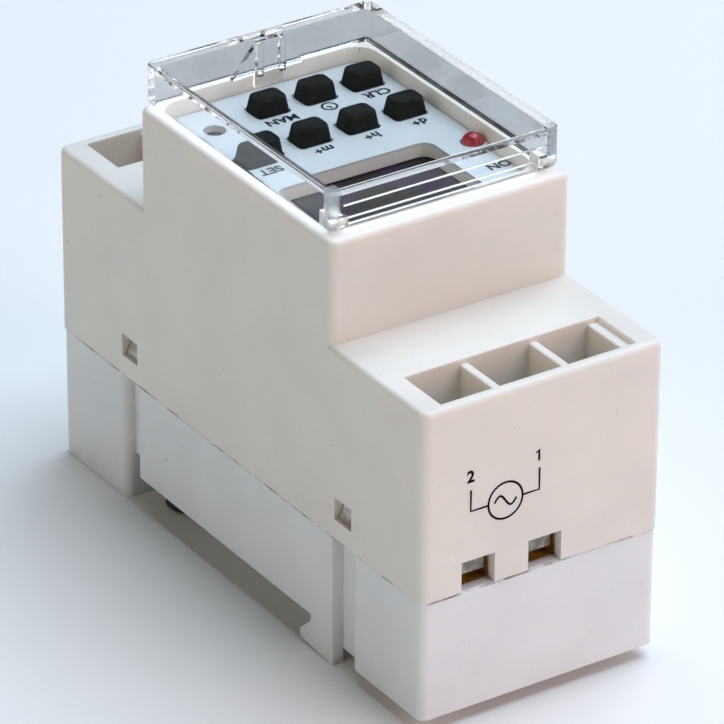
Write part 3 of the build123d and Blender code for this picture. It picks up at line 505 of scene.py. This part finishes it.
def supply_symbol():
    """The alternating-current symbol on the near face, its two leads and the terminal numbers."""
    centre = Vector(SYMBOL_CENTRE)
    wave = []
    for step in range(WAVE_STEPS + 1):
        along = step / WAVE_STEPS
        rise = WAVE_HEIGHT * math.sin(2 * math.pi * along)
        wave.append(centre + Vector((WAVE_LENGTH * (along - 0.5), rise)))
    lines = [(circle(SYMBOL_CENTRE, SYMBOL_R, SYMBOL_STEPS), True), (wave, False)]
    for sign, end in ((-1, LEFT_LEAD), (1, RIGHT_LEAD)):
        start = centre + Vector((sign * SYMBOL_R, 0))
        lines.append(([start, (end[0], centre.y), end], False))
    printed_lines("supply_symbol", lines, ON_NEAR_FACE)
    printed_text("terminal_number_2", "2", NUMBER_2_AT, NUMBER_HEIGHT, ON_NEAR_FACE)
    foot = Vector(NUMBER_1_AT) - Vector((0, NUMBER_HEIGHT / 2))
    top = foot + Vector((0, NUMBER_HEIGHT))
    printed_lines("terminal_number_1", [([top - Vector(NUMBER_1_FLAG), top, foot], False)], ON_NEAR_FACE)


def label_place(name, gap):
    """The place in the label's print a gap nearer the near end than the middle of a node."""
    low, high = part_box(name)
    centre = (low + high) / 2 / MM
    return -centre.x, -(centre.y - gap)


def key_legends():
    """A short legend beside each key, upright as seen from the far end."""
    legends = {"key_1": "SET", "key_2": "m+", "key_3": "h+", "key_4": "d+", "key_5": "MAN", "key_7": "CLR"}
    for name, text in legends.items():
        printed_text("legend_" + name, text, label_place(name, LEGEND_GAP), LEGEND_HEIGHT, ON_LABEL)
    clock = label_place("key_6", LEGEND_GAP)
    hands = [(clock[0], clock[1] + MINUTE_HAND), clock, (clock[0] + HOUR_HAND, clock[1])]
    printed_lines("legend_key_6", [(circle(clock, CLOCK_R, CLOCK_STEPS), True), (hands, False)], ON_LABEL)
    printed_text("legend_lamp", "ON", label_place("status_led", LAMP_LEGEND_GAP), LEGEND_HEIGHT, ON_LABEL)


def coil_spring():
    """The rail latch's spring: a wound wire with closed ends, drawn at one length and fixed to the housing,
    though the real one shortens as the latch moves out.
    """
    low, high = (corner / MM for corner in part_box("latch_spring"))
    radius = (high.x - low.x) / 2 - SPRING_WIRE_R
    middle = (low + high) / 2
    start, end = low.y + SPRING_WIRE_R, high.y - SPRING_WIRE_R
    closed = 2 * SPRING_WIRE_R * SPRING_END_TURNS
    open_turns = SPRING_TURNS - 2 * SPRING_END_TURNS
    curve = bpy.data.curves.new("coil_spring", "CURVE")
    curve.dimensions = "3D"
    curve.bevel_depth = SPRING_WIRE_R * MM
    curve.bevel_resolution = 3
    curve.use_fill_caps = True
    wire = curve.splines.new("POLY")
    steps = SPRING_TURNS * SPRING_STEPS
    wire.points.add(steps)
    for step, point in enumerate(wire.points):
        turn = SPRING_TURNS * step / steps
        opened = min(max((turn - SPRING_END_TURNS) / open_turns, 0), 1)
        ends = min(turn, SPRING_END_TURNS) + max(turn - SPRING_TURNS + SPRING_END_TURNS, 0)
        along = start + (end - start - 2 * closed) * opened + 2 * SPRING_WIRE_R * ends
        angle = 2 * math.pi * turn
        place = (middle.x + radius * math.cos(angle), along, middle.z + radius * math.sin(angle))
        point.co = (*(Vector(place) * MM), 1)
    holder = bpy.data.objects.new("coil_spring_path", curve)
    bpy.context.scene.collection.objects.link(holder)
    bpy.context.view_layer.update()
    mesh = bpy.data.meshes.new_from_object(holder.evaluated_get(bpy.context.evaluated_depsgraph_get()))
    bpy.data.objects.remove(holder)
    for face in mesh.polygons:
        face.use_smooth = True
    spring = finish_piece("coil_spring", mesh, Matrix.Identity(4), "spring_steel")
    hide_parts("latch_spring")
    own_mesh(spring)


def crumb(mesh, draw, x, length, height):
    """One crumb of flash on the near face's parting line: the hull of a few scattered points."""
    centre = Vector((x, near_face_y + FLASH_SINK, PARTING_Z - height / 2))
    points = []
    for _ in range(FLASH_POINTS):
        along = draw.uniform(-1, 1) * length / 2
        outwards = draw.uniform(-FLASH_HALF_DEPTH, FLASH_HALF_DEPTH)
        up = draw.uniform(-1, 1) * height / 2
        points.append(mesh.verts.new((centre + Vector((along, outwards, up))) * MM))
    hull = bmesh.ops.convex_hull(mesh, input=points)
    left_over = hull["geom_interior"] + hull["geom_unused"]
    inner = {item for item in left_over if isinstance(item, bmesh.types.BMVert)}
    bmesh.ops.delete(mesh, geom=list(inner), context="VERTS")


def moulding_flash():
    """Crumbs between the two supply mouths, and a low broken ridge towards the right corner."""
    draw = random.Random(5)
    mesh = bmesh.new()
    for _ in range(FLAKE_COUNT):
        crumb(mesh, draw, draw.uniform(*FLAKE_X), draw.uniform(*FLAKE_LENGTH), draw.uniform(*FLAKE_HEIGHT))
    for _ in range(RIDGE_COUNT):
        crumb(mesh, draw, draw.uniform(*RIDGE_X), draw.uniform(*RIDGE_LENGTH), draw.uniform(*RIDGE_HEIGHT))
    data = bpy.data.meshes.new("moulding_flash")
    mesh.to_mesh(data)
    mesh.free()
    finish_piece("moulding_flash", data, Matrix.Identity(4), "case_white", moulded("flash", FLASH_WHITE))


supply_symbol()
key_legends()
coil_spring()
moulding_flash()


# ---------------------------------------------------------------- stage, lights and camera
def make_floor():
    """A plain pale floor under the case."""
    level = bounds_at_load[0].z
    data = bpy.data.meshes.new("floor")
    signs = ((-1, -1), (1, -1), (1, 1), (-1, 1))
    corners = [(x * FLOOR_HALF, y * FLOOR_HALF, level) for x, y in signs]
    data.from_pydata(corners, [], [(0, 1, 2, 3)])
    surface = Surface("floor_paint", Roughness=0.9)
    clouds = [(0.3, (0.92, 0.885, 0.85)), (0.7, (0.935, 0.90, 0.865))]
    surface.feed("Base Color", surface.ramp(surface.noise(300.0), clouds))
    data.materials.append(surface.material)
    floor = bpy.data.objects.new("floor", data)
    bpy.context.scene.collection.objects.link(floor)


def area_light(name, place, size, power, colour):
    """A soft square lamp, its place and size in metres, turned to the middle of the case."""
    data = bpy.data.lights.new(name, "AREA")
    data.shape = "SQUARE"
    data.size = size
    data.energy = power
    data.color = colour
    lamp = bpy.data.objects.new(name, data)
    bpy.context.scene.collection.objects.link(lamp)
    lamp.location = place
    lamp.rotation_euler = (CAMERA_TARGET * MM - Vector(place)).to_track_quat("-Z", "Y").to_euler()


def make_lights():
    area_light("sky_panel", (0.45, 0.05, 1.25), 1.3, 24.0, (0.68, 0.83, 1.0))
    area_light("front_panel", (0.5, -1.25, 0.5), 0.8, 7.4, (1.0, 0.78, 0.75))
    area_light("side_panel", (-1.3, -0.1, 0.6), 0.8, 3.5, (0.98, 0.98, 0.84))
    world = bpy.data.worlds.new("studio")
    world.use_nodes = True
    background = world.node_tree.nodes["Background"]
    background.inputs["Color"].default_value = WORLD_COLOUR
    background.inputs["Strength"].default_value = WORLD_STRENGTH
    bpy.context.scene.world = world
    bpy.context.scene.view_settings.view_transform = "Standard"


def let_light_turn():
    """Light turns many times within the lid's thick walls before it leaves them."""
    paths = bpy.context.scene.cycles
    paths.max_bounces = LID_LIGHT_TURNS
    paths.glossy_bounces = LID_LIGHT_TURNS
    paths.transmission_bounces = LID_LIGHT_TURNS


def make_camera():
    azimuth, elevation, roll = map(math.radians, (CAMERA_AZIMUTH, CAMERA_ELEVATION, CAMERA_ROLL))
    level = math.cos(elevation)
    back = Vector((math.sin(azimuth) * level, -math.cos(azimuth) * level, math.sin(elevation)))
    right = Vector((math.cos(azimuth), math.sin(azimuth), 0))
    turned = Matrix((right, back.cross(right), back)).transposed() @ Matrix.Rotation(roll, 3, "Z")
    data = bpy.data.cameras.new("camera")
    data.lens = CAMERA_LENS
    data.clip_start = 0.05
    camera = bpy.data.objects.new("camera", data)
    bpy.context.scene.collection.objects.link(camera)
    place = (CAMERA_TARGET + back * CAMERA_DISTANCE) * MM
    camera.matrix_world = Matrix.Translation(place) @ turned.to_4x4()
    bpy.context.scene.camera = camera


make_floor()
make_lights()
let_light_turn()
make_camera()
